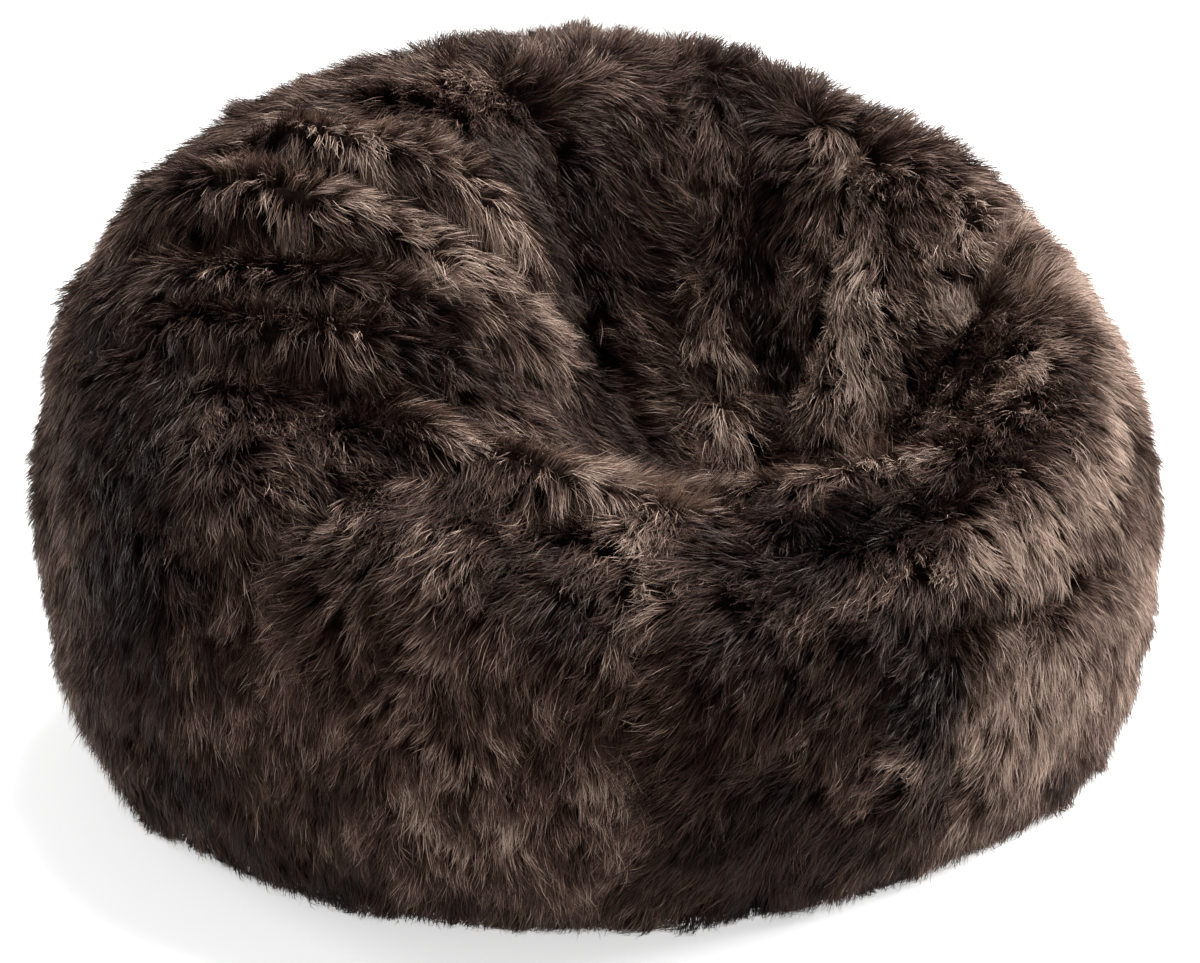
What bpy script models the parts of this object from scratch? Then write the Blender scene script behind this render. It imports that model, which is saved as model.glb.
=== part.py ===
"""Bean bag chair in long-pile fur: a ten-gore cover with a zipped base, over a zipped liner full of beads.

Metres, +Z up, the floor at Z = 0 and the front of the seat toward -Y. The cover, the liner and the fill
are layers of one shape: a meridian curve that climbs from the base over the rim and down into the seat
dent, swept round the bag with a radius and a height that change from compass point to compass point.
"""

import math

import bmesh
import bpy
import numpy as np

# ---- the bag's shape ---------------------------------------------------------------------------------
# Each row of radii or heights runs round the bag at E, NE, N, NW, W, SW, S and SE; N is the tall back.
FOOT_CENTRE = (-0.003, 0.004)
DENT_CENTRE = (0.102, -0.061)  # the seat dent is pressed in toward the front right
FOOT_RADIUS = (0.505, 0.480, 0.455, 0.465, 0.485, 0.465, 0.445, 0.450)
FLANK_RADIUS = (0.535, 0.520, 0.515, 0.520, 0.525, 0.520, 0.515, 0.520)
FLANK_HEIGHT = (0.085,) * 8
BULGE_RADIUS = (0.550, 0.550, 0.520, 0.530, 0.545, 0.545, 0.530, 0.540)
BULGE_HEIGHT = (0.265, 0.275, 0.305, 0.305, 0.295, 0.275, 0.255, 0.245)
SHOULDER_RADIUS = (0.490, 0.480, 0.435, 0.465, 0.485, 0.495, 0.480, 0.490)
SHOULDER_HEIGHT = (0.425, 0.495, 0.570, 0.580, 0.540, 0.430, 0.350, 0.360)
RIM_RADIUS = (0.315, 0.315, 0.315, 0.330, 0.330, 0.315, 0.275, 0.305)  # from here on, round the dent
RIM_HEIGHT = (0.465, 0.580, 0.660, 0.655, 0.600, 0.445, 0.380, 0.390)
WALL_RADIUS = (0.245, 0.240, 0.210, 0.190, 0.160, 0.190, 0.190, 0.220)
WALL_HEIGHT = (0.400, 0.495, 0.550, 0.570, 0.530, 0.400, 0.350, 0.370)
SEAT_RADIUS = (0.150, 0.150, 0.140, 0.135, 0.115, 0.115, 0.125, 0.140)
SEAT_HEIGHT = (0.285, 0.305, 0.315, 0.315, 0.315, 0.285, 0.275, 0.275)
SEAT_MIDDLE = 0.270  # height of the middle of the seat

# Folds and rolls: angle, lean (degrees per unit of the meridian), middle and half length along the
# meridian (0 at the floor, 1 in the middle of the seat), height, half width in degrees.
FOLDS = (
    (176, 30, 0.56, 0.09, 0.012, 5),
    (184, 40, 0.55, 0.10, -0.020, 5),
    (188, 110, 0.49, 0.08, 0.012, 5),
    (197, 90, 0.50, 0.09, -0.018, 5),
    (203, -60, 0.55, 0.12, 0.018, 7),
    (226, 90, 0.52, 0.08, -0.026, 7),
    (258, 0, 0.52, 0.05, -0.012, 5),
    (312, 0, 0.61, 0.035, 0.016, 32),
)

# ---- the cover ---------------------------------------------------------------------------------------
GORES = 10
FIRST_SEAM = 21.0  # degrees from +X
STEPS_PER_GORE = 6
PILE = 0.040  # hide and pile together
SEAM_DIP = 0.009  # how far the surface draws in at a seam
CROWN_EDGE = 0.93  # where on the meridian the gores meet the round crown panel
GAP = 0.0003  # between pieces that touch
ROWS = np.concatenate([np.linspace(0, 0.32, 5), np.linspace(0.40, 0.72, 9), [0.79, 0.86, CROWN_EDGE]])

# ---- the base and its zip ----------------------------------------------------------------------------
BASE_THICKNESS = 0.010
SLOT_HALF_LENGTH = 0.310
SLOT_HALF_WIDTH = 0.0153
ZIP_HEIGHT = 0.0055  # middle plane of tapes and teeth
TAPE_INNER, TAPE_OUTER, TAPE_THICKNESS = 0.0039, 0.0150, 0.0008
TOOTH_TIP, TOOTH_ROOT, TOOTH_BACK, TOOTH_THICKNESS = 0.0005, 0.0024, 0.0036, 0.0020
TEETH = 58
TEETH_HALF_LENGTH = 0.2610
STOP_LENGTH = 0.005
TRAVEL_HALF = 0.250  # the slider's own travel, either side of the middle

SLIDER_HALF_LENGTH = 0.008
SLIDER_PLATE_INNER, SLIDER_PLATE_OUTER = 0.0013, 0.0023  # from the middle plane
SLIDER_LIP = 0.0008
SLIDER_FLANGE_INNER, SLIDER_HALF_WIDTH = 0.0054, 0.0062
SLIDER_POST = 0.00025
LOOP_HALF_LENGTH, LOOP_HALF_WIDTH, LOOP_THICKNESS, LOOP_DROP = 0.0055, 0.0010, 0.0007, 0.0022
PULL_HEIGHT = 0.0022
PULL_LENGTH, PULL_HALF_WIDTH, PULL_THICKNESS = 0.030, 0.0040, 0.0010
PULL_NECK, PULL_WINDOW, PULL_WINDOW_HALF = 0.0034, 0.0070, 0.0020

# ---- the liner and the beads -------------------------------------------------------------------------
LINER = 0.0012
LINER_GORES = 5
LINER_BASE_THICKNESS = 0.0015
LINER_SLOT_HALF_LENGTH, LINER_SLOT_HALF_WIDTH = 0.200, 0.0123
LINER_TAPE_OUTER, LINER_TAPE_THICKNESS = 0.0120, 0.0006
LINER_COIL_TIP, LINER_COIL_BACK, LINER_COIL_THICKNESS = 0.0005, 0.0022, 0.0012
LINER_TRAVEL_HALF = 0.180
CHANNEL_HALF_LENGTH, CHANNEL_HALF_WIDTH, CHANNEL_TOP = 0.199, 0.0052, 0.0136


# ---- helpers -----------------------------------------------------------------------------------------
def clear_scene():
    for item in list(bpy.data.objects):
        bpy.data.objects.remove(item, do_unlink=True)


def material(name, colour, roughness, metallic=0.0):
    made = bpy.data.materials.new(name)
    made.use_nodes = True
    shader = made.node_tree.nodes["Principled BSDF"]
    shader.inputs["Base Color"].default_value = (*colour, 1.0)
    shader.inputs["Roughness"].default_value = roughness
    shader.inputs["Metallic"].default_value = metallic
    return made


def add_object(name, vertices, faces, finish, smooth=False, origin=(0.0, 0.0, 0.0)):
    """Makes one object from vertices in the bag's own frame, with its origin moved to the point given."""
    mesh = bpy.data.meshes.new(name)
    shifted = np.asarray(vertices, float) - np.asarray(origin, float)
    mesh.from_pydata(shifted.tolist(), [], [list(map(int, face)) for face in faces])
    work = bmesh.new()
    work.from_mesh(mesh)
    bmesh.ops.recalc_face_normals(work, faces=work.faces)
    work.to_mesh(mesh)
    work.free()
    mesh.polygons.foreach_set("use_smooth", [smooth] * len(mesh.polygons))
    mesh.materials.append(finish)
    made = bpy.data.objects.new(name, mesh)
    made.location = origin
    bpy.context.scene.collection.objects.link(made)
    return made


def extruded(outline, low, high, place):
    """A prism from a closed outline; place(a, b, c) puts outline point (a, b) at depth c."""
    count = len(outline)
    vertices = [place(a, b, depth) for depth in (low, high) for a, b in outline]
    sides = [(i, (i + 1) % count, count + (i + 1) % count, count + i) for i in range(count)]
    return vertices, sides + [list(range(count))[::-1], list(range(count, 2 * count))]


def flat(a, b, c):
    return (a, b, c)


def across(a, b, c):
    """The outline is a section square to X, extruded along X."""
    return (c, a, b)


def sideways(a, b, c):
    """The outline is a section square to Y, extruded along Y."""
    return (a, c, b)


def box(name, low, high, finish):
    outline = [(low[0], low[1]), (high[0], low[1]), (high[0], high[1]), (low[0], high[1])]
    return add_object(name, *extruded(outline, low[2], high[2], flat), finish)


# ---- the bag's surface -------------------------------------------------------------------------------
def round_the_bag(angle, keys):
    """Reads a row of compass values at any angle, on a smooth closed curve through them."""
    keys = np.asarray(keys, float)
    place = np.mod(angle, 2 * np.pi) / (2 * np.pi) * len(keys)
    low = np.floor(place).astype(int)
    t = place - low
    a, b, c, d = (keys[(low + k) % len(keys)] for k in (-1, 0, 1, 2))
    return b + 0.5 * t * (c - a + t * (2 * a - 5 * b + 4 * c - d + t * (3 * (b - c) + d - a)))


def smooth_surface(angle, along):
    """The bag without folds or seams: a cubic B-spline up each meridian."""
    direction = np.stack([np.cos(angle), np.sin(angle)], -1)

    def control(radius, height, middle):
        radius = np.broadcast_to(radius, angle.shape)[:, None]
        height = np.broadcast_to(height, angle.shape)[:, None]
        return np.concatenate([np.asarray(middle) + radius * direction, height], -1)

    rows = (
        (FOOT_RADIUS, (0.0,) * 8, FOOT_CENTRE),
        (FLANK_RADIUS, FLANK_HEIGHT, FOOT_CENTRE),
        (BULGE_RADIUS, BULGE_HEIGHT, FOOT_CENTRE),
        (SHOULDER_RADIUS, SHOULDER_HEIGHT, FOOT_CENTRE),
        (RIM_RADIUS, RIM_HEIGHT, DENT_CENTRE),
        (WALL_RADIUS, WALL_HEIGHT, DENT_CENTRE),
        (SEAT_RADIUS, SEAT_HEIGHT, DENT_CENTRE),
        ((0.05,) * 8, (SEAT_MIDDLE,) * 8, DENT_CENTRE),
        ((0.0,) * 8, (SEAT_MIDDLE,) * 8, DENT_CENTRE),
    )
    net = [control(round_the_bag(angle, r), round_the_bag(angle, z), middle) for r, z, middle in rows]
    net = np.stack([2 * net[0] - net[1], *net, 2 * net[-1] - net[-2]])
    spans = len(net) - 3
    place = np.clip(along, 0, 1) * spans
    low = np.minimum(np.floor(place).astype(int), spans - 1)
    t = (place - low)[:, None]
    p, q, r, s = (net[low + k, np.arange(len(angle))] for k in range(4))
    return (
        (1 - t) ** 3 * p
        + (3 * t**3 - 6 * t**2 + 4) * q
        + (-3 * t**3 + 3 * t**2 + 3 * t + 1) * r
        + t**3 * s
    ) / 6


def outward(angle, along):
    """Unit normals of the smooth surface, level at the floor, with the directions round and up it."""
    step = 1e-4
    inside = np.minimum(along, 0.985)
    round_way = smooth_surface(angle + step, inside) - smooth_surface(angle - step, inside)
    up_way = smooth_surface(angle, inside + step) - smooth_surface(angle, np.maximum(inside - step, 0))
    normal = np.cross(round_way, up_way)
    normal[:, 2] *= np.clip(along / 0.08, 0, 1)
    return tuple(v / np.linalg.norm(v, axis=1)[:, None] for v in (normal, round_way, up_way))


def relief(angle, along):
    """Height of the folds and of the fullness between seams, above the smooth surface."""
    degrees = np.degrees(angle)
    height = np.zeros_like(angle)
    for middle, lean, centre, half, rise, width in FOLDS:
        away = (degrees - middle - lean * (along - centre) + 180) % 360 - 180
        height += rise * np.exp(-((away / width) ** 2) - ((along - centre) / half) ** 4)
    gore = 360 / GORES
    across_gore = 2 * (((degrees - FIRST_SEAM) / gore) % 1) - 1
    fade = np.clip(along / 0.1, 0, 1) * np.clip((CROWN_EDGE - along) / 0.1, 0, 1)
    return height - SEAM_DIP * fade * across_gore**4


def layer(angle, along, depth, floor=0.0, with_relief=False):
    """Points of the layer that lies depth inside the smooth surface and starts at the floor height."""
    normal, _, _ = outward(angle, along)
    rise = relief(angle, along)[:, None] if with_relief else 0.0
    points = smooth_surface(angle, along) + normal * (rise - depth)
    points[:, 2] = np.maximum(points[:, 2], floor)
    return points


def sheet(angles, rows, depth, floor=0.0, with_relief=False, trim=GAP / 2):
    """A grid of points on one layer, its edges drawn in by trim so that neighbouring panels clear."""
    grid_angle, grid_row = (g.ravel() for g in np.meshgrid(angles, rows, indexing="ij"))
    points = layer(grid_angle, grid_row, depth, floor, with_relief)
    _, round_way, up_way = outward(grid_angle, grid_row)
    shape = (len(angles), len(rows), 3)
    points, round_way, up_way = points.reshape(shape), round_way.reshape(shape), up_way.reshape(shape)
    points[0] += round_way[0] * trim
    points[-1] -= round_way[-1] * trim
    points[:, -1] -= up_way[:, -1] * trim
    return points


def shell(name, outer, inner, finish):
    """A closed panel between two grids of points."""
    columns, rows = outer.shape[:2]
    count = columns * rows

    def at(i, j, side):
        return side * count + i * rows + j

    faces = []
    for i in range(columns - 1):
        for j in range(rows - 1):
            for side in (0, 1):
                faces.append((at(i, j, side), at(i + 1, j, side), at(i + 1, j + 1, side), at(i, j + 1, side)))
        for j in (0, rows - 1):
            faces.append((at(i, j, 0), at(i + 1, j, 0), at(i + 1, j, 1), at(i, j, 1)))
    for j in range(rows - 1):
        for i in (0, columns - 1):
            faces.append((at(i, j, 0), at(i, j + 1, 0), at(i, j + 1, 1), at(i, j, 1)))
    return add_object(name, np.concatenate([outer.reshape(-1, 3), inner.reshape(-1, 3)]), faces, finish, True)


def seam_angles(first, last):
    """The grid's angles from one cover seam to another."""
    steps = (last - first) * STEPS_PER_GORE + 1
    turn = 360 / GORES
    return np.radians(np.linspace(FIRST_SEAM + first * turn, FIRST_SEAM + last * turn, steps))


def all_angles():
    return seam_angles(0, GORES)[:-1]


def crown(name, depth, thickness, finish):
    """The round panel in the middle of the seat, where the gores end."""
    angles = all_angles()
    edge = np.full_like(angles, CROWN_EDGE)
    _, _, up_way = outward(angles, edge)
    inset = up_way * GAP / 2
    top = layer(angles, edge, depth) + inset
    bottom = layer(angles, edge, depth + thickness) + inset
    middle = [[*DENT_CENTRE, SEAT_MIDDLE - depth], [*DENT_CENTRE, SEAT_MIDDLE - depth - thickness]]
    count = len(angles)
    faces = []
    for i in range(count):
        k = (i + 1) % count
        faces += [(i, k, 2 * count), (count + i, count + k, 2 * count + 1), (i, k, count + k, count + i)]
    return add_object(name, np.concatenate([top, bottom, middle]), faces, finish, True)


def base_half(name, side, depth, low, high, slot_length, slot_width, finish):
    """Half of a flat bottom panel. side is -1 for the front half and 1 for the back half."""
    angles = all_angles()
    rim = layer(angles, np.zeros_like(angles), depth)[:, :2]
    edge = side * GAP / 2
    arc, cuts = [], []
    for here, after in zip(rim, np.roll(rim, -1, axis=0)):
        if side * here[1] > GAP / 2:
            arc.append(tuple(here))
        if (here[1] - edge) * (after[1] - edge) < 0:
            share = (edge - here[1]) / (after[1] - here[1])
            cuts.append((here[0] + share * (after[0] - here[0]), edge))
    arc.sort(key=lambda point: math.atan2(side * point[1], point[0]))
    left, right = sorted(cuts)
    slot = side * slot_width
    straight = [left, (-slot_length, edge), (-slot_length, slot)]
    straight += [(slot_length, slot), (slot_length, edge), right]
    return add_object(name, *extruded(arc + straight, low, high, flat), finish)


# ---- the cover ---------------------------------------------------------------------------------------
def build_cover(fur, suede):
    for number in range(GORES):
        angles = seam_angles(number, number + 1)
        outer = sheet(angles, ROWS, 0.0, with_relief=True)
        inner = sheet(angles, ROWS, PILE)
        shell(f"fur_gore_{number + 1:02d}", outer, inner, fur)
    crown("fur_crown", 0.0, PILE, fur)
    for name, side in (("base_front", -1), ("base_back", 1)):
        base_half(name, side, PILE + GAP, 0.0, BASE_THICKNESS, SLOT_HALF_LENGTH, SLOT_HALF_WIDTH, suede)


def comb(side):
    """Outline of a row of teeth, seen from above."""
    pitch = 2 * TEETH_HALF_LENGTH / TEETH
    outline = [(TEETH_HALF_LENGTH, side * TOOTH_BACK), (-TEETH_HALF_LENGTH, side * TOOTH_BACK)]
    for tooth in range(TEETH):
        start = -TEETH_HALF_LENGTH + (tooth + (0.0 if side > 0 else 0.5)) * pitch
        start = max(start, -TEETH_HALF_LENGTH)
        stop = min(start + 0.5 * pitch, TEETH_HALF_LENGTH)
        outline += [
            (start + 1e-4, side * TOOTH_ROOT),
            (start + 4e-4, side * TOOTH_TIP),
            (stop - 4e-4, side * TOOTH_TIP),
            (stop - 1e-4, side * TOOTH_ROOT),
        ]
    return outline


def slider_section(middle, plate_inner, plate_outer, lip, flange_inner, half_width, post):
    """Section of a zip slider square to its travel: two lipped plates joined by a thin post."""
    quarter = [
        (post, plate_inner),
        (flange_inner, plate_inner),
        (flange_inner, lip),
        (half_width, lip),
        (half_width, plate_outer),
    ]
    top_right = [(y, middle + z) for y, z in quarter]
    top_left = [(-y, middle + z) for y, z in quarter[::-1]]
    low_left = [(-y, middle - z) for y, z in quarter]
    low_right = [(y, middle - z) for y, z in quarter[::-1]]
    return top_right + top_left + low_left + low_right


def pull_mesh():
    """The pull tab, flat, from the bar that hangs in the slider's loop to its rounded end."""
    bar = PULL_THICKNESS / 2
    turn = np.linspace(-math.pi / 2, math.pi / 2, 9)
    tip = [(PULL_LENGTH - PULL_HALF_WIDTH * (1 - math.cos(a)), PULL_HALF_WIDTH * math.sin(a)) for a in turn]
    outer = [(-bar, -PULL_NECK), (PULL_WINDOW + 0.002, -PULL_NECK), *tip]
    outer += [(PULL_WINDOW + 0.002, PULL_NECK), (-bar, PULL_NECK)]
    near = (bar, PULL_WINDOW_HALF)
    far = (PULL_WINDOW, PULL_WINDOW_HALF)
    steps = np.linspace(-PULL_WINDOW_HALF, PULL_WINDOW_HALF, 9)
    inner = [(near[0], -near[1]), (far[0] - 0.001, -far[1]), *[(far[0], y) for y in steps]]
    inner += [(far[0] - 0.001, far[1]), near]
    count = len(outer)
    loops = [(outer, -bar), (inner, -bar), (outer, bar), (inner, bar)]
    vertices = [(x, y, PULL_HEIGHT + z) for loop, z in loops for x, y in loop]
    faces = []
    for i in range(count):
        k = (i + 1) % count
        for a, b in ((0, 1), (2, 3), (0, 2), (1, 3)):
            faces.append((a * count + i, a * count + k, b * count + k, b * count + i))
    return vertices, faces


def build_zip(cloth, resin, metal):
    half_tape, half_tooth = TAPE_THICKNESS / 2, TOOTH_THICKNESS / 2
    for name, side in (("front", -1), ("back", 1)):
        low, high = sorted((side * TAPE_INNER, side * TAPE_OUTER))
        length = SLOT_HALF_LENGTH - GAP
        box(
            f"zip_tape_{name}",
            (-length, low, ZIP_HEIGHT - half_tape),
            (length, high, ZIP_HEIGHT + half_tape),
            cloth,
        )
        rows = extruded(comb(side), ZIP_HEIGHT - half_tooth, ZIP_HEIGHT + half_tooth, flat)
        add_object(f"zip_teeth_{name}", *rows, resin)
    for name, side in (("closed", -1), ("open", 1)):
        low, high = sorted((side * (TEETH_HALF_LENGTH + GAP), side * (TEETH_HALF_LENGTH + STOP_LENGTH)))
        box(
            f"zip_stop_{name}",
            (low, -TOOTH_BACK, ZIP_HEIGHT - half_tooth),
            (high, TOOTH_BACK, ZIP_HEIGHT + half_tooth),
            metal,
        )
    section = slider_section(
        ZIP_HEIGHT,
        SLIDER_PLATE_INNER,
        SLIDER_PLATE_OUTER,
        SLIDER_LIP,
        SLIDER_FLANGE_INNER,
        SLIDER_HALF_WIDTH,
        SLIDER_POST,
    )
    rest = -TRAVEL_HALF
    ends = (rest - SLIDER_HALF_LENGTH, rest + SLIDER_HALF_LENGTH)
    add_object("zip_slider", *extruded(section, *ends, across), metal, origin=(rest, 0, ZIP_HEIGHT))

    top = ZIP_HEIGHT - SLIDER_PLATE_OUTER - GAP
    low = top - LOOP_DROP
    wide, narrow = LOOP_HALF_LENGTH, LOOP_HALF_LENGTH - LOOP_THICKNESS - 0.0003
    hoop = [(-wide, top), (-wide, low), (wide, low), (wide, top)]
    hoop += [(narrow, top), (narrow, low + LOOP_THICKNESS), (-narrow, low + LOOP_THICKNESS), (-narrow, top)]
    hoop = [(rest + x, z) for x, z in hoop]
    solid = extruded(hoop, -LOOP_HALF_WIDTH, LOOP_HALF_WIDTH, sideways)
    add_object("zip_loop", *solid, metal, origin=(rest, 0, ZIP_HEIGHT))

    vertices, faces = pull_mesh()
    vertices = [(x + rest, y, z) for x, y, z in vertices]
    add_object("zip_pull", vertices, faces, metal, origin=(rest, 0, PULL_HEIGHT))


# ---- the liner and the beads -------------------------------------------------------------------------
def build_liner(cotton, coil, metal):
    floor = BASE_THICKNESS + GAP
    outer_depth = PILE + GAP
    span = GORES // LINER_GORES
    for number in range(LINER_GORES):
        angles = seam_angles(number * span, (number + 1) * span)
        outer = sheet(angles, ROWS, outer_depth, floor)
        inner = sheet(angles, ROWS, outer_depth + LINER, floor)
        shell(f"liner_gore_{number + 1}", outer, inner, cotton)
    crown("liner_crown", outer_depth, LINER, cotton)

    middle = floor + LINER_BASE_THICKNESS / 2
    for name, side in (("front", -1), ("back", 1)):
        base_half(
            f"liner_base_{name}",
            side,
            outer_depth + LINER + GAP,
            floor,
            floor + LINER_BASE_THICKNESS,
            LINER_SLOT_HALF_LENGTH,
            LINER_SLOT_HALF_WIDTH,
            cotton,
        )
        half_coil, half_tape = LINER_COIL_THICKNESS / 2, LINER_TAPE_THICKNESS / 2
        profile = [
            (LINER_COIL_TIP, -half_coil),
            (LINER_COIL_BACK, -half_coil),
            (LINER_COIL_BACK, -half_tape),
            (LINER_TAPE_OUTER, -half_tape),
            (LINER_TAPE_OUTER, half_tape),
            (LINER_COIL_BACK, half_tape),
            (LINER_COIL_BACK, half_coil),
            (LINER_COIL_TIP, half_coil),
        ]
        profile = [(side * y, middle + z) for y, z in profile]
        length = LINER_SLOT_HALF_LENGTH - GAP
        add_object(f"liner_zip_{name}", *extruded(profile, -length, length, across), coil)
    section = slider_section(middle, 0.0009, 0.0016, 0.0006, 0.0034, 0.0042, 0.0002)
    rest = -LINER_TRAVEL_HALF
    solid = extruded(section, rest - 0.006, rest + 0.006, across)
    add_object("liner_zip_slider", *solid, metal, origin=(rest, 0, middle))


def build_fill(beads):
    """The beads, settled into one mass, with a channel over the liner's zip."""
    angles = all_angles()
    floor = BASE_THICKNESS + LINER_BASE_THICKNESS + 2 * GAP
    depth = PILE + LINER + 2 * GAP
    grid_angle, grid_row = (g.ravel() for g in np.meshgrid(angles, ROWS, indexing="ij"))
    points = layer(grid_angle, grid_row, depth, floor)
    rows, columns = len(ROWS), len(angles)
    top, bottom = len(points), len(points) + 1
    centres = [[*DENT_CENTRE, SEAT_MIDDLE - depth], [0.0, 0.0, floor]]
    faces = []
    for i in range(columns):
        a, b = i * rows, ((i + 1) % columns) * rows
        faces += [(a + j, b + j, b + j + 1, a + j + 1) for j in range(rows - 1)]
        faces += [(a + rows - 1, b + rows - 1, top), (a, b, bottom)]
    fill = add_object("bead_fill", np.concatenate([points, centres]), faces, beads, True)

    low, high = (-CHANNEL_HALF_LENGTH, -CHANNEL_HALF_WIDTH), (CHANNEL_HALF_LENGTH, CHANNEL_HALF_WIDTH)
    cutter = box("channel_cutter", (*low, floor - 0.002), (*high, CHANNEL_TOP), beads)
    cutter.display_type = "WIRE"
    cutter.hide_render = True
    cut = fill.modifiers.new("channel", "BOOLEAN")
    cut.operation = "DIFFERENCE"
    cut.solver = "EXACT"
    cut.object = cutter


clear_scene()
build_cover(
    material("brown_fur", (0.060, 0.040, 0.032), 0.9),
    material("brown_suede", (0.055, 0.040, 0.033), 0.85),
)
build_zip(
    material("zip_tape_cloth", (0.030, 0.022, 0.018), 0.9),
    material("zip_resin", (0.028, 0.020, 0.017), 0.45),
    material("zip_metal", (0.22, 0.19, 0.16), 0.35, 1.0),
)
build_liner(
    material("liner_cotton", (0.55, 0.52, 0.47), 0.9),
    material("liner_coil", (0.50, 0.48, 0.44), 0.6),
    material("liner_metal", (0.55, 0.55, 0.56), 0.35, 1.0),
)
build_fill(material("bead_foam", (0.85, 0.85, 0.83), 0.8))
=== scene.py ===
"""The look of a bean bag chair in long brown fur: hide, pile, suede base, zips, liner and beads."""

import math

import bpy
import numpy as np
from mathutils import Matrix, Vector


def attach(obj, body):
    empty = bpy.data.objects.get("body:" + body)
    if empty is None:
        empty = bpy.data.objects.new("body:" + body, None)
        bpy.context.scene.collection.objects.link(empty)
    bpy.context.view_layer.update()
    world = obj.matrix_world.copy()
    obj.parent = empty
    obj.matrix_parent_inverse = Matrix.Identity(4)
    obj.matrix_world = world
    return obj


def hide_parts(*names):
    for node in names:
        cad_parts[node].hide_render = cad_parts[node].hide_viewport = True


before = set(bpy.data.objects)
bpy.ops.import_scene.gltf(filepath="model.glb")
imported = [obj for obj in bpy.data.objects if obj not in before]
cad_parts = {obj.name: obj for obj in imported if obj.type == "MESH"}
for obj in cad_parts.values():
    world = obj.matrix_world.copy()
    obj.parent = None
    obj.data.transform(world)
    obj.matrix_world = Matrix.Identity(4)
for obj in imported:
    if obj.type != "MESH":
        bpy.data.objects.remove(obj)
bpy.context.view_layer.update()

# ---- the bag's shape, as the CAD gores have it ---------------------------------------------------------
# Rows run round the bag at E, NE, N, NW, W, SW, S and SE.
FOOT_CENTRE = (-0.003, 0.004)
DENT_CENTRE = (0.102, -0.061)
SEAT_MIDDLE = 0.270
MERIDIAN = (
    ((0.505, 0.480, 0.455, 0.465, 0.485, 0.465, 0.445, 0.450), (0.0,) * 8, FOOT_CENTRE),
    ((0.535, 0.520, 0.515, 0.520, 0.525, 0.520, 0.515, 0.520), (0.085,) * 8, FOOT_CENTRE),
    (
        (0.550, 0.550, 0.520, 0.530, 0.545, 0.545, 0.530, 0.540),
        (0.265, 0.275, 0.305, 0.305, 0.295, 0.275, 0.255, 0.245),
        FOOT_CENTRE,
    ),
    (
        (0.490, 0.480, 0.435, 0.465, 0.485, 0.495, 0.480, 0.490),
        (0.425, 0.495, 0.570, 0.580, 0.540, 0.430, 0.350, 0.360),
        FOOT_CENTRE,
    ),
    (
        (0.315, 0.315, 0.315, 0.330, 0.330, 0.315, 0.275, 0.305),
        (0.465, 0.580, 0.660, 0.655, 0.600, 0.445, 0.380, 0.390),
        DENT_CENTRE,
    ),
    (
        (0.245, 0.240, 0.210, 0.190, 0.160, 0.190, 0.190, 0.220),
        (0.400, 0.495, 0.550, 0.570, 0.530, 0.400, 0.350, 0.370),
        DENT_CENTRE,
    ),
    (
        (0.150, 0.150, 0.140, 0.135, 0.115, 0.115, 0.125, 0.140),
        (0.285, 0.305, 0.315, 0.315, 0.315, 0.285, 0.275, 0.275),
        DENT_CENTRE,
    ),
    ((0.05,) * 8, (SEAT_MIDDLE,) * 8, DENT_CENTRE),
    ((0.0,) * 8, (SEAT_MIDDLE,) * 8, DENT_CENTRE),
)
# Folds and rolls: angle, lean (degrees per unit of the meridian), middle and half length along the
# meridian (0 at the floor, 1 in the middle of the seat), height, half width in degrees.
FOLDS = (
    (176, 30, 0.56, 0.09, 0.012, 5),
    (184, 40, 0.55, 0.10, -0.020, 5),
    (188, 110, 0.49, 0.08, 0.012, 5),
    (197, 90, 0.50, 0.09, -0.018, 5),
    (203, -60, 0.55, 0.12, 0.018, 7),
    (226, 90, 0.52, 0.08, -0.026, 7),
    (258, 0, 0.52, 0.05, -0.012, 5),
    (312, 0, 0.61, 0.035, 0.016, 32),
)
GORES = 10
LINER_GORES = 5
FIRST_SEAM = 21.0
FULL_TURN = 2 * np.pi
SECTOR = FULL_TURN / GORES
LINER_SECTOR = FULL_TURN / LINER_GORES
SEAM_DIP = 0.009
SEAM_FADE = 0.1  # the dip dies out over this much of the meridian at the base and at the crown
CROWN_EDGE = 0.93  # where the gores meet the round panel in the seat
CROWN_MIDDLE = 0.999
LAST_STEADY_ROW = 0.985  # past this the meridians run together and normals are taken from here
FOOT_ROWS = 0.08  # normals are level at the floor and tilt freely from here up
GROUND = 0.001  # lowest height of the hide

# ---- thicknesses ---------------------------------------------------------------------------------------
PILE_DEPTH = 0.018  # from the tips down to the skin
GORE_THICKNESS = 0.040  # skin, wool and pile together
DEEPEST_CREASE = 0.020
SEAM_GAP = 0.0003
LINER_DEPTH = 0.0404
LINER_THICKNESS = 0.0010
LINER_FLOOR = 0.0104
BEAD_DEPTH = 0.0436
BEAD_FLOOR = 0.0124
BEAD_KNOB = 0.0011
BEAD_PACE = 700  # knobs in radians per metre
CHANNEL = (0.206, 0.0130, 0.0150)  # half length, half width and top of the room over the liner's zip
# The two flat bases: inset from the outside, lowest and highest, room for the zip (half length and half
# width), and how far they sag between their hems.
SUEDE = {
    "depth": GORE_THICKNESS + SEAM_GAP,
    "low": 0.0006,
    "high": 0.0098,
    "slot": (0.310, 0.0156),
    "sag": 0.0012,
}
COTTON = {"depth": LINER_DEPTH + 0.0016, "low": 0.0104, "high": 0.0117, "slot": (0.200, 0.0125), "sag": 0.0}
HEM_WIDTH = 0.004
HEM_LIFT, HEM_DROP = 0.22, 0.12  # how far the hem rounds off below and above, as shares of the thickness
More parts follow.
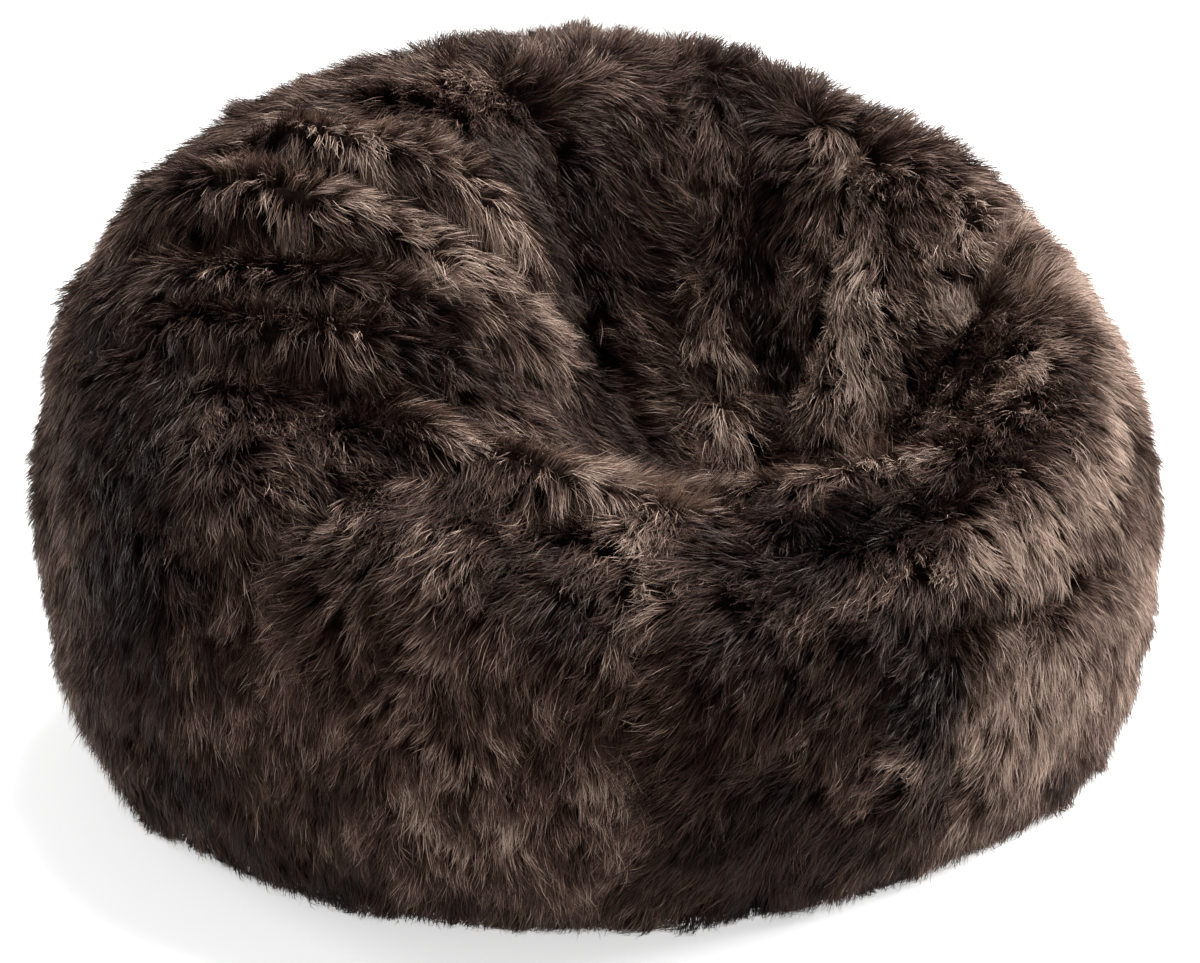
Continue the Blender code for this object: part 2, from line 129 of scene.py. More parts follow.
# Puckers of the liner: those that gather at the seams, how fast they come and how fast they die out away
# from the seam; and the slow ones all over, with their wavelength and seed.
GATHER_DEPTH, GATHER_PACE, GATHER_FADE = 0.0007, 420, 9
PUCKER_DEPTH, PUCKER_WAVELENGTH, PUCKER_SEED = 0.0004, 0.05, 301
# Grids: columns of a gore and rows for a whole meridian; columns of a round panel; fewest rows.
HIDE_GRID, LINER_GRID = (25, 110), (61, 120)
WHOLE_RING, FEWEST_ROWS = 121, 8

# ---- the pile ------------------------------------------------------------------------------------------
SHOULDER = 0.40  # each gore's pile is two pieces that meet here
LOCKS_PER_M2 = 19500
HAIRS_PER_LOCK = 13
LOCK_RADIUS = 0.0075
HAIR_LENGTH = 0.042
HAIR_WIDTH = 0.00075
# How far a hair stands off the skin along each of its three lengths, in degrees, and where these end.
STANDS = (52, 17, 8)
STATIONS = (0.0, 0.36, 0.70, 1.0)
WIDTHS = (0.5, 0.5, 0.36, 0.0)  # half width at each station, as a share of the hair's width
CORNER_STATIONS = [0, 0, 1, 1, 2, 2, 3]  # a hair has two corners at each station, and one at its tip
FACES = ((0, 1, 3, 2), (2, 3, 5, 4), (4, 5, 6))
STEEPEST, FLATTEST = 80, 2
DRAWN_IN = 0.50  # how far the tips of a lock close up
# Tufts, where locks stand up: they stand this much steeper, in degrees, and are this much shorter.
TUFT_FROM, TUFT_STAND, TUFT_SHORTER = 0.35, 26, 0.15
# How much locks differ, and hairs within a lock: degrees, and shares of the length and width.
LOCK_STAND, LOCK_HEADING, LOCK_CURL, LOCK_LENGTH = 5, 7, 9, 0.08
HAIR_STAND, HAIR_HEADING, HAIR_CURL = 6, 6, 7
HAIR_LENGTHS, HAIR_WIDTHS = (0.72, 1.10), (0.7, 1.25)
CURL_FROM = 0.7  # a hair curls one way before this part of it and the other way past it
FACING = 0.7  # how freely a hair's flat side turns to the left or right
STRAY = 0.0018  # how far a hair's tip strays
# Slow changes over the bag: how much, over what wavelength, and the seed.
TUFT_DRIFT = (1.0, 0.05, 91)
STAND_DRIFT = (5, 0.09, 71)
LENGTH_DRIFT = (0.10, 0.12, 111)
CURL_DRIFT = (9, 0.05, 131)
TONE_DRIFTS = ((0.05, 0.16, 151), (0.09, 0.055, 171))
FIRST_SEED, CROWN_SEED = 100, 200
LOWEST_HAIR = 0.0012
ROOT_SINK = 0.001  # roots start this far inside the skin
# Tone of a lock and of its hairs: 0 is darkest, 1 is bleached.
MIDDLE_TONE, LOCK_TONE, HAIR_TONE = 0.48, 0.10, 0.11
BLEACHED_SHARE, BLEACHED, NOT_BLEACHED = 0.22, 0.17, -0.05
# how strongly the painted highlights and painted shade of the streaks are laid on the pile's tone
PAINTED_LIGHT_WEIGHT = 1.1
PAINTED_LIGHT_SHIFT = 0.45  # the painted light and shade shows where hairs end, so it is laid on this much of a hair further back
# How the pile wanders from the way it was brushed: strength, wavelength and seed.
SWIRLS = ((0.40, 0.30, 11), (0.42, 0.11, 31), (0.16, 0.045, 51))
WANDER, DOWNHILL = 0.62, 0.25
# Which way each gore's pile lies at heights NAP_ROWS: 0 hangs towards the floor, 90 points anticlockwise
# round the bag, 180 points up over the rim and into the seat.
NAP_ROWS = (0.0, 0.2, 0.4, 0.5, 0.6, 0.8, 1.0)
NAP = (
    (10, 10, 0, -30, -90, -140, -150),
    (0, 0, 0, -20, 180, 180, 180),
    (0, 0, 0, -30, -135, -135, -140),
    (0, 0, 20, 60, 150, 170, 180),
    (0, 10, 60, 120, 135, 150, 160),
    (10, 10, 60, 110, 140, 160, 170),
    (0, -10, -35, 60, 110, 180, 180),
    (-15, -70, -65, -50, -40, 180, 180),
    (-25, -25, -10, -50, -60, 180, 180),
    (-20, -20, -10, -10, -60, -120, -140),
)
# How much lighter or darker each gore is, and the round panel in the seat: partly each panel's own tone and
# partly painted light, with the gores on the right, where the strong light falls, made lighter.
GORE_TONE_AND_LIGHT = (0.10, -0.05, -0.10, 0.02, 0.07, -0.07, 0.0, -0.17, 0.15, 0.13)
CROWN_NAP = (180,) * len(NAP_ROWS)
CROWN_TONE = -0.05
# Ridges and creases that run over the folded skin: height, half width, and (angle, meridian) corners.
RIDGES = (
    (0.022, 0.026, ((172, 0.47), (176, 0.51), (175, 0.57), (182, 0.62))),
    (0.022, 0.024, ((182, 0.41), (184, 0.44), (187, 0.485), (194, 0.54), (199, 0.575))),
    (0.022, 0.028, ((198, 0.42), (202, 0.48), (203, 0.56), (204, 0.62), (198, 0.69))),
    (0.016, 0.022, ((204, 0.40), (212, 0.48), (216, 0.54))),
    (0.024, 0.022, ((226, 0.47), (242, 0.475), (253, 0.482), (262, 0.50))),
    (0.018, 0.020, ((274, 0.55), (290, 0.56), (305, 0.57))),
    (0.014, 0.030, ((42, 0.58), (40, 0.68), (30, 0.76))),
    (0.016, 0.024, ((90, 0.70), (80, 0.76), (71, 0.82))),
    (-0.020, 0.014, ((172, 0.45), (178, 0.48), (182, 0.53), (192, 0.58))),
    (-0.020, 0.014, ((188, 0.40), (191, 0.44), (196, 0.50), (200, 0.54))),
    (-0.020, 0.014, ((200, 0.41), (208, 0.47), (211, 0.53))),
    (-0.024, 0.018, ((214, 0.44), (221, 0.485), (226, 0.52), (238, 0.53))),
    (-0.024, 0.014, ((256, 0.44), (261, 0.48), (266, 0.52))),
    (-0.026, 0.020, ((82, 0.54), (75, 0.65), (75, 0.76))),
    (-0.028, 0.016, ((60, 0.48), (57, 0.60), (52, 0.74))),
    (-0.024, 0.016, ((21, 0.52), (17, 0.62), (14, 0.76))),
    (-0.020, 0.020, ((129, 0.48), (132, 0.60), (136, 0.74))),
    (-0.026, 0.016, ((270, 0.58), (300, 0.61), (326, 0.60), (345, 0.62))),
    (-0.016, 0.018, ((285, 0.43), (298, 0.44), (322, 0.462), (340, 0.45))),
    (-0.018, 0.016, ((306, 0.29), (318, 0.275), (330, 0.28))),
    (-0.016, 0.012, ((309, 0.10), (309, 0.30))),
    (-0.016, 0.012, ((237, 0.08), (235, 0.36))),
)
# Lighter and darker streaks in the pile, all painted light and shade: the light ones are painted highlights
# where the pile lies side-on to the light, most along the ridges, and the dark ones are painted shade in the
# creases and hollows. Change of tone, half width, and (angle, meridian) corners.
PAINTED_LIGHT_AND_SHADE = (
    (0.50, 0.018, ((174, 0.48), (176, 0.51), (175, 0.57), (182, 0.62))),
    (0.40, 0.016, ((184, 0.44), (187, 0.485), (194, 0.54), (199, 0.575))),
    (0.25, 0.016, ((200, 0.46), (204, 0.50), (203, 0.56))),
    (0.45, 0.026, ((203, 0.56), (204, 0.62), (200, 0.68))),
    (0.45, 0.022, ((204, 0.44), (212, 0.465), (219, 0.485))),
    (0.30, 0.022, ((174, 0.44), (184, 0.45), (194, 0.48))),
    (0.40, 0.030, ((115, 0.73), (110, 0.77))),
    (0.25, 0.030, ((338, 0.536), (350, 0.511))),
    (0.70, 0.019, ((228, 0.483), (242, 0.473), (253, 0.482), (262, 0.50), (272, 0.495))),
    (0.60, 0.020, ((276, 0.545), (290, 0.557), (303, 0.566))),
    (0.25, 0.018, ((305, 0.564), (315, 0.54), (328, 0.515))),
    (0.50, 0.030, ((89, 0.72), (80, 0.77), (71, 0.82))),
    (0.35, 0.030, ((120, 0.78), (183, 0.775))),
    (0.50, 0.026, ((305, 0.34), (318, 0.325), (337, 0.325), (350, 0.36))),
    (0.35, 0.070, ((17, 0.50), (1, 0.40), (355, 0.36))),
    (0.25, 0.080, ((311, 0.18), (326, 0.19), (345, 0.20))),
    (0.25, 0.060, ((111, 0.55), (140, 0.49))),
    (0.50, 0.032, ((59, 0.58), (50, 0.60))),
    (0.50, 0.017, ((21, 0.622), (18, 0.63))),
    (0.40, 0.024, ((269, 0.42), (273, 0.36), (275, 0.27))),
    (0.40, 0.017, ((289, 0.318), (301, 0.352))),
    (0.30, 0.016, ((222, 0.38), (226, 0.28), (229, 0.18))),
    (0.10, 0.040, ((233, 0.36), (235, 0.27))),
    (0.20, 0.022, ((249, 0.38), (254, 0.29))),
    (0.15, 0.018, ((256, 0.40), (264, 0.31))),
    (0.20, 0.060, ((254, 0.17), (266, 0.15))),
    (0.35, 0.018, ((57, 0.64), (50, 0.70), (44, 0.76))),
    (0.35, 0.017, ((300, 0.18), (296, 0.20))),
    (0.45, 0.034, ((42, 0.66), (30, 0.72))),
    (-0.35, 0.060, ((192, 0.36), (209, 0.35), (220, 0.30), (222, 0.22))),
    (-0.30, 0.050, ((222, 0.14), (231, 0.08), (244, 0.06))),
    (-0.20, 0.012, ((172, 0.45), (178, 0.48), (182, 0.53), (192, 0.58))),
    (-0.20, 0.013, ((190, 0.43), (195, 0.495), (200, 0.54))),
    (-0.25, 0.013, ((201, 0.42), (209, 0.475), (212, 0.54), (219, 0.59))),
    (-0.30, 0.022, ((216, 0.46), (221, 0.48), (226, 0.51), (238, 0.515))),
    (-0.30, 0.020, ((251, 0.41), (258, 0.385), (263, 0.31))),
    (-0.30, 0.100, ((135, 0.62), (125, 0.68), (128, 0.72))),
    (-0.25, 0.028, ((79, 0.58), (74, 0.66), (77, 0.72))),
    (-0.35, 0.042, ((126, 0.76), (150, 0.80), (190, 0.74), (250, 0.62))),
    (-0.30, 0.032, ((68, 0.73), (60, 0.80), (20, 0.82))),
    (-0.30, 0.026, ((19, 0.69), (10, 0.65), (350, 0.60))),
    (-0.25, 0.022, ((8, 0.60), (14, 0.58))),
    (-0.40, 0.022, ((275, 0.62), (300, 0.62), (330, 0.60))),
    (-0.35, 0.036, ((290, 0.43), (298, 0.442), (307, 0.446), (322, 0.46), (339, 0.455), (351, 0.43))),
    (-0.20, 0.040, ((280, 0.43), (293, 0.43))),
    (-0.30, 0.050, ((302, 0.31), (302, 0.22))),
    (-0.25, 0.040, ((282, 0.14), (292, 0.10))),
    (-0.15, 0.040, ((280, 0.26), (284, 0.31))),
    (-0.25, 0.030, ((159, 0.66), (147, 0.70))),
    (-0.25, 0.030, ((263, 0.39), (264, 0.32))),
    (-0.35, 0.020, ((309, 0.297), (320, 0.272))),
)


def round_the_bag(angle, keys):
    """Reads a row of compass values at any angle, on a smooth closed curve through them."""
    keys = np.asarray(keys, float)
    place = np.mod(angle, 2 * np.pi) / (2 * np.pi) * len(keys)
    low = np.floor(place).astype(int)
    t = place - low
    a, b, c, d = (keys[(low + k) % len(keys)] for k in (-1, 0, 1, 2))
    return b + 0.5 * t * (c - a + t * (2 * a - 5 * b + 4 * c - d + t * (3 * (b - c) + d - a)))


def smooth_surface(angle, along):
    """The bag without folds or seams: a cubic B-spline up each meridian."""
    net = []
    for radii, heights, middle in MERIDIAN:
        radius = round_the_bag(angle, radii)
        net.append(
            np.stack(
                [
                    middle[0] + radius * np.cos(angle),
                    middle[1] + radius * np.sin(angle),
                    round_the_bag(angle, heights),
                ],
                -1,
            )
        )
    net = np.stack([2 * net[0] - net[1], *net, 2 * net[-1] - net[-2]])
    spans = len(net) - 3
    place = np.clip(along, 0, 1) * spans
    low = np.minimum(np.floor(place).astype(int), spans - 1)
    t = (place - low)[:, None]
    p, q, r, s = (net[low + k, np.arange(len(angle))] for k in range(4))
    return (
        (1 - t) ** 3 * p
        + (3 * t**3 - 6 * t**2 + 4) * q
        + (-3 * t**3 + 3 * t**2 + 3 * t + 1) * r
        + t**3 * s
    ) / 6


def unit(vectors):
    return vectors / np.maximum(np.linalg.norm(vectors, axis=-1, keepdims=True), 1e-12)


def dot(a, b):
    return (a * b).sum(-1, keepdims=True)


def smooth_normal(angle, along):
    step = 1e-4
    within = np.clip(along, 0.0, LAST_STEADY_ROW)
    round_way = smooth_surface(angle + step, within) - smooth_surface(angle - step, within)
    up_way = smooth_surface(angle, within + step) - smooth_surface(angle, np.maximum(within - step, 0))
    normal = np.cross(round_way, up_way)
    normal[:, 2] *= np.clip(along / FOOT_ROWS, 0, 1)
    return unit(normal)


def relief(angle, along):
    """Height of the folds and of the fullness between seams, above the smooth surface."""
    degrees = np.degrees(angle)
    height = np.zeros_like(angle)
    for middle, lean, centre, half, rise, width in FOLDS:
        away = (degrees - middle - lean * (along - centre) + 180) % 360 - 180
        height += rise * np.exp(-((away / width) ** 2) - ((along - centre) / half) ** 4)
    across_gore = 2 * (((degrees - FIRST_SEAM) / (360 / GORES)) % 1) - 1
    fade = np.clip(along / SEAM_FADE, 0, 1) * np.clip((CROWN_EDGE - along) / SEAM_FADE, 0, 1)
    return height - SEAM_DIP * fade * across_gore**4


def strokes(points, table):
    """Sum of soft strokes on the surface: each has a strength, a half width and a line to follow."""
    total = np.zeros(len(points))
    for strength, half, corners in table:
        angle, along = np.array(corners, float).T
        line = smooth_surface(np.radians(angle), along)
        away = np.full(len(points), np.inf)
        for start, stop in zip(line[:-1], line[1:], strict=True):
            run = stop - start
            part = np.clip((points - start) @ run / (run @ run), 0, 1)
            away = np.minimum(away, np.linalg.norm(points - start - part[:, None] * run, axis=1))
        total += strength * np.exp(-((away / half) ** 2))
    return total


def skin(angle, along, depth):
    """Points that lie depth inside the bag's outer surface, folds and all."""
    smooth = smooth_surface(angle, along)
    rise = np.maximum(relief(angle, along) + strokes(smooth, RIDGES), -DEEPEST_CREASE)[:, None]
    points = smooth + smooth_normal(angle, along) * (rise - depth)
    points[:, 2] = np.maximum(points[:, 2], GROUND)
    return points


def skin_frame(angle, along, depth):
    """Point, outward normal and the direction round the bag on the folded skin."""
    step = 2e-3
    within = np.clip(along, step, LAST_STEADY_ROW)
    round_way = skin(angle + step, within, depth) - skin(angle - step, within, depth)
    up_way = skin(angle, within + step, depth) - skin(angle, within - step, depth)
    normal = unit(np.cross(round_way, up_way))
    return skin(angle, along, depth), normal, unit(round_way)


def drift(points, wavelength, seed, waves=7):
    """Smooth noise in space, about -1 to 1, from a few sine waves in seeded directions."""
    draw = np.random.default_rng(seed)
    total = np.zeros(len(points))
    for _ in range(waves):
        direction = unit(draw.normal(size=3))
        pace = 2 * np.pi / (wavelength * draw.uniform(0.75, 1.35))
        total += np.sin(points @ direction * pace + draw.uniform(0, 2 * np.pi))
    return total * (1.35 / math.sqrt(waves))


def slow_change(points, change):
    amount, wavelength, seed = change
    return amount * drift(points, wavelength, seed)


def drift_vector(points, wavelength, seed):
    return np.stack([drift(points, wavelength, seed + k) for k in range(3)], -1)


# ---- materials -----------------------------------------------------------------------------------------
def new_material(name):
    made = bpy.data.materials.new(name)
    made.use_nodes = True
    return made, made.node_tree, made.node_tree.nodes["Principled BSDF"]


def node(tree, kind, **values):
    """Adds a node; keyword values set its properties, or its inputs where they are named with in_."""
    made = tree.nodes.new(kind)
    for key, value in values.items():
        if key.startswith("in_"):
            made.inputs[key[3:].replace("_", " ")].default_value = value
        else:
            setattr(made, key, value)
    return made


def ramp(tree, source, stops):
    made = tree.nodes.new("ShaderNodeValToRGB")
    band = made.color_ramp
    while len(band.elements) < len(stops):
        band.elements.new(0.5)
    for element, (place, colour) in zip(band.elements, stops, strict=True):
        element.position = place
        element.color = (*colour, 1.0)
    tree.links.new(source, made.inputs["Fac"])
    return made.outputs["Color"]


def math_node(tree, operation, a, b):
    made = tree.nodes.new("ShaderNodeMath")
    made.operation = operation
    for socket, value in zip(made.inputs, (a, b), strict=False):
        if isinstance(value, (int, float)):
            socket.default_value = value
        else:
            tree.links.new(value, socket)
    return made.outputs["Value"]


# What makes a place on a hair lighter, in steps of its ramp of colours.
# Lighter from root to tip: partly the hair's own colour, partly painted shade deep in the pile and a painted
# highlight at the tips.
TOWARDS_TIP, TIP_CURVE = 0.50, 1.4
MOTTLE = 0.35
TONE_WEIGHT = 0.80
ALL_DARKER = 0.08
PILE_COLOURS = (
    (0.12, (0.0050, 0.0021, 0.0017)),
    (0.45, (0.0175, 0.0080, 0.0062)),
    (0.68, (0.055, 0.0285, 0.0215)),
    (0.87, (0.162, 0.102, 0.080)),
    (1.0, (0.39, 0.287, 0.231)),
)


def pile_material():
    """Each hair is near black at its root and goes through brown to a taupe tip; the dark root is partly
    painted shade deep in the pile and the light tip partly a painted highlight.
    """
    made, tree, shader = new_material("long_brown_pile")
    along = node(tree, "ShaderNodeAttribute", attribute_name="hair_along")
    tone = node(tree, "ShaderNodeAttribute", attribute_name="hair_tone_and_light")
    place = node(tree, "ShaderNodeTexCoord")
    mottle = node(tree, "ShaderNodeTexNoise", in_Scale=9.0, in_Detail=4.0, in_Roughness=0.6)
    tree.links.new(place.outputs["Object"], mottle.inputs["Vector"])
    lift = math_node(tree, "MULTIPLY", math_node(tree, "SUBTRACT", mottle.outputs["Fac"], 0.5), MOTTLE)
    # lighter towards the tip: partly painted shade at the root and a painted highlight at the tip
    root_shade_tip_light = math_node(tree, "MULTIPLY", math_node(tree, "POWER", along.outputs["Fac"], TIP_CURVE), TOWARDS_TIP)
    shade = math_node(tree, "ADD", root_shade_tip_light, lift)
    shade = math_node(tree, "ADD", shade, math_node(tree, "MULTIPLY", tone.outputs["Fac"], TONE_WEIGHT))
    shade = math_node(tree, "SUBTRACT", shade, ALL_DARKER)
    tree.links.new(ramp(tree, shade, PILE_COLOURS), shader.inputs["Base Color"])
    rough = node(tree, "ShaderNodeMapRange", in_To_Min=0.38, in_To_Max=0.62)
    tree.links.new(tone.outputs["Fac"], rough.inputs["Value"])
    tree.links.new(rough.outputs["Result"], shader.inputs["Roughness"])
    shader.inputs["Specular IOR Level"].default_value = 0.17
    shader.inputs["Specular Tint"].default_value = (1.0, 0.76, 0.64, 1.0)
    return made


def hide_material():
    """Dark wool at the foot of the pile."""
    made, tree, shader = new_material("dark_hide")
    place = node(tree, "ShaderNodeTexCoord")
    wool = node(tree, "ShaderNodeTexNoise", in_Scale=220.0, in_Detail=6.0, in_Roughness=0.7)
    tree.links.new(place.outputs["Object"], wool.inputs["Vector"])
    colours = ((0.3, (0.0045, 0.0022, 0.0017)), (0.75, (0.016, 0.0085, 0.0065)))
    tree.links.new(ramp(tree, wool.outputs["Fac"], colours), shader.inputs["Base Color"])
    bump = node(tree, "ShaderNodeBump", in_Strength=0.6, in_Distance=0.002)
    tree.links.new(wool.outputs["Fac"], bump.inputs["Height"])
    tree.links.new(bump.outputs["Normal"], shader.inputs["Normal"])
    shader.inputs["Roughness"].default_value = 0.95
    shader.inputs["Specular IOR Level"].default_value = 0.05
    return made


def woven_material(name, dark, light, threads, roughness):
    """Plain weave: two sets of threads over and under each other, in the piece's own plane."""
    made, tree, shader = new_material(name)
    place = node(tree, "ShaderNodeTexCoord")
    warp = node(tree, "ShaderNodeTexWave", bands_direction="X", in_Scale=threads, in_Distortion=0.6)
    weft = node(tree, "ShaderNodeTexWave", bands_direction="Y", in_Scale=threads, in_Distortion=0.6)
    fuzz = node(tree, "ShaderNodeTexNoise", in_Scale=threads * 4, in_Detail=3.0)
    for texture in (warp, weft, fuzz):
        tree.links.new(place.outputs["Object"], texture.inputs["Vector"])
    height = math_node(tree, "MULTIPLY", warp.outputs["Fac"], weft.outputs["Fac"])
    height = math_node(tree, "ADD", height, math_node(tree, "MULTIPLY", fuzz.outputs["Fac"], 0.4))
    tree.links.new(ramp(tree, height, ((0.1, dark), (0.9, light))), shader.inputs["Base Color"])
    bump = node(tree, "ShaderNodeBump", in_Strength=0.5, in_Distance=0.0004)
    tree.links.new(height, bump.inputs["Height"])
    tree.links.new(bump.outputs["Normal"], shader.inputs["Normal"])
    shader.inputs["Roughness"].default_value = roughness
    return made


def grained_material(name, dark, light, scale, roughness, metallic=0.0, depth=0.0003, spread=0.15):
    """Cloudy colour, a fine grain, and a roughness that follows it."""
    made, tree, shader = new_material(name)
    place = node(tree, "ShaderNodeTexCoord")
    cloud = node(tree, "ShaderNodeTexNoise", in_Scale=scale * 0.08, in_Detail=5.0)
    grain = node(tree, "ShaderNodeTexNoise", in_Scale=scale, in_Detail=4.0, in_Roughness=0.65)
    for texture in (cloud, grain):
        tree.links.new(place.outputs["Object"], texture.inputs["Vector"])
    both = math_node(tree, "MULTIPLY", cloud.outputs["Fac"], 0.6)
    both = math_node(tree, "ADD", both, math_node(tree, "MULTIPLY", grain.outputs["Fac"], 0.4))
    tree.links.new(ramp(tree, both, ((0.3, dark), (0.7, light))), shader.inputs["Base Color"])
    rough = node(tree, "ShaderNodeMapRange", in_To_Min=roughness - spread, in_To_Max=roughness + spread)
    tree.links.new(grain.outputs["Fac"], rough.inputs["Value"])
    tree.links.new(rough.outputs["Result"], shader.inputs["Roughness"])
    bump = node(tree, "ShaderNodeBump", in_Strength=0.4, in_Distance=depth)
    tree.links.new(grain.outputs["Fac"], bump.inputs["Height"])
    tree.links.new(bump.outputs["Normal"], shader.inputs["Normal"])
    shader.inputs["Metallic"].default_value = metallic
    return made


def bead_material():
    """White beads pressed together, with painted shade in the gaps between them."""
    made, tree, shader = new_material("polystyrene_beads")
    place = node(tree, "ShaderNodeTexCoord")
    cells = node(tree, "ShaderNodeTexVoronoi", in_Scale=260.0)
    tree.links.new(place.outputs["Object"], cells.inputs["Vector"])
    # the ramp darkens the gaps between beads as painted shade
    colours = ((0.1, (0.86, 0.86, 0.84)), (0.8, (0.35, 0.35, 0.34)))
    tree.links.new(ramp(tree, cells.outputs["Distance"], colours), shader.inputs["Base Color"])
    bump = node(tree, "ShaderNodeBump", invert=True, in_Strength=0.9, in_Distance=0.002)
    tree.links.new(cells.outputs["Distance"], bump.inputs["Height"])
    tree.links.new(bump.outputs["Normal"], shader.inputs["Normal"])
    shader.inputs["Roughness"].default_value = 0.7
    return made


# ---- mesh helpers --------------------------------------------------------------------------------------
def mesh_object(name, points, loops, sizes, finish, smooth=True):
    """An object from flat arrays: points, the vertex of each corner, and the corners of each face."""
    mesh = bpy.data.meshes.new(name)
    mesh.vertices.add(len(points))
    mesh.vertices.foreach_set("co", np.ascontiguousarray(points, np.float32).ravel())
    mesh.loops.add(len(loops))
    mesh.loops.foreach_set("vertex_index", np.ascontiguousarray(loops, np.int32))
    mesh.polygons.add(len(sizes))
    starts = np.concatenate([[0], np.cumsum(sizes)[:-1]])
    mesh.polygons.foreach_set("loop_start", np.ascontiguousarray(starts, np.int32))
    mesh.polygons.foreach_set("use_smooth", np.full(len(sizes), smooth))
    mesh.update(calc_edges=True)
    mesh.validate()
    mesh.materials.append(finish)
    made = bpy.data.objects.new(name, mesh)
    bpy.context.scene.collection.objects.link(made)
    return made


def grid_faces(columns, rows, first=0, flip=False):
    """Four-sided faces over a grid of points that runs up each column in turn."""
    i, j = (g.ravel() for g in np.meshgrid(np.arange(columns - 1), np.arange(rows - 1), indexing="ij"))
    corner = first + i * rows + j
    faces = np.stack([corner, corner + rows, corner + rows + 1, corner + 1], -1)
    return faces[:, ::-1] if flip else faces


def slab(name, outer, inner, finish):
    """A panel from two matching grids of points, (columns, rows, 3), joined round the edge."""
    columns, rows = outer.shape[:2]
    count = columns * rows
    ring = [i * rows for i in range(columns)] + [(columns - 1) * rows + j for j in range(1, rows)]
    ring += [i * rows + rows - 1 for i in range(columns - 2, -1, -1)] + list(range(rows - 2, 0, -1))
    edge = np.array(ring)
    ahead = np.roll(edge, -1)
    faces = np.concatenate(
        [
            grid_faces(columns, rows),
            grid_faces(columns, rows, count, flip=True),
            np.stack([edge, edge + count, ahead + count, ahead], -1),
        ]
    )
    points = np.concatenate([outer.reshape(-1, 3), inner.reshape(-1, 3)])
    return mesh_object(name, points, faces.ravel(), [4] * len(faces), finish)


def grid(low, high, columns, start, stop, rows):
    """Angles and heights of a panel's points, up each column in turn."""
    angles, along = np.linspace(low, high, columns), np.linspace(start, stop, rows)
    return (g.ravel() for g in np.meshgrid(angles, along, indexing="ij"))


def inside(angle, along, depth, floor):
    """Points that lie depth (one for all or one each) inside the smooth surface, folds left out."""
    depth = np.broadcast_to(depth, angle.shape)[:, None]
    points = smooth_surface(angle, along) - smooth_normal(angle, along) * depth
    points[:, 2] = np.maximum(points[:, 2], floor)
    return points


# ---- hide, liner, base and beads -----------------------------------------------------------------------
def panel_size(low, high, start, stop, columns, rows_per_meridian):
    """Columns and rows of a panel's grid, which goes right round the bag in a round panel."""
    columns = WHOLE_RING if high - low > np.pi else columns
    return columns, max(int(round((stop - start) * rows_per_meridian)), FEWEST_ROWS)


def hide_panel(name, low, high, start, stop, finish):
    """One gore's skin and wool, which fills it from the foot of the pile in to the liner."""
    columns, rows = panel_size(low, high, start, stop, *HIDE_GRID)
    angle, along = grid(low, high, columns, start, stop, rows)
    outer = skin(angle, along, PILE_DEPTH)
    inner = inside(angle, along, GORE_THICKNESS, GROUND)
    return slab(name, outer.reshape(columns, rows, 3), inner.reshape(columns, rows, 3), finish)


def liner_panel(name, low, high, start, stop, finish):
    """Thin cotton, drawn tight over the beads with small puckers that gather at the seams."""
    columns, rows = panel_size(low, high, start, stop, *LINER_GRID)
    angle, along = grid(low, high, columns, start, stop, rows)
    smooth = smooth_surface(angle, along)
    from_seam = 1 - np.abs(2 * (angle - low) / (high - low) - 1)
    gather = np.exp(-from_seam * GATHER_FADE) * (1 + np.sin(along * GATHER_PACE)) / 2
    wave = np.clip(drift(smooth, PUCKER_WAVELENGTH, PUCKER_SEED), -1, 1)
    pucker = GATHER_DEPTH * gather + PUCKER_DEPTH * (1 + wave)
    outer = inside(angle, along, LINER_DEPTH + pucker, LINER_FLOOR)
    inner = inside(angle, along, LINER_DEPTH + pucker + LINER_THICKNESS, LINER_FLOOR)
    return slab(name, outer.reshape(columns, rows, 3), inner.reshape(columns, rows, 3), finish)


def base_panel(name, side, finish, depth, low, high, slot, sag):
    """Half of the flat bottom, with the slot for its zip. Its edges are turned up in a soft hem."""
    slot_length, slot_width = slot
    sliver = 1e-4
    turn = np.linspace(0, FULL_TURN, 361)
    rim = inside(turn, np.zeros_like(turn), depth, 0.0)
    rim = rim[side * rim[:, 1] > 0.002]
    rim = rim[np.argsort(rim[:, 0])]
    reach = rim[:, 0]
    x = np.concatenate(
        [
            np.linspace(reach[0] + sliver, -slot_length - sliver, 22),
            np.linspace(-slot_length, slot_length, 61),
            np.linspace(slot_length + sliver, reach[-1] - sliver, 22),
        ]
    )
    share = (1 - np.cos(np.linspace(0, np.pi, 34))) / 2
    near = np.where(np.abs(x) <= slot_length, slot_width, SEAM_GAP)
    far = np.maximum(np.abs(np.interp(x, reach, rim[:, 1])), near + sliver)
    y = near[:, None] + (far - near)[:, None] * share
    from_edge = np.minimum(y - near[:, None], far[:, None] - y)
    hem = np.exp(-from_edge / HEM_WIDTH)
    spot = np.stack([np.broadcast_to(x[:, None], y.shape), y * side, np.zeros_like(y)], -1)
    wave = np.clip(drift(spot.reshape(-1, 3), 0.07, 401 + side), -1, 1).reshape(y.shape)
    bottom, top = spot.copy(), spot.copy()
    bottom[..., 2] = low + sag * (0.5 + 0.4 * wave) * (1 - hem) + (high - low) * HEM_LIFT * hem
    top[..., 2] = high - (high - low) * HEM_DROP * hem
    return slab(name, top, bottom, finish) if side > 0 else slab(name, bottom, top, finish)


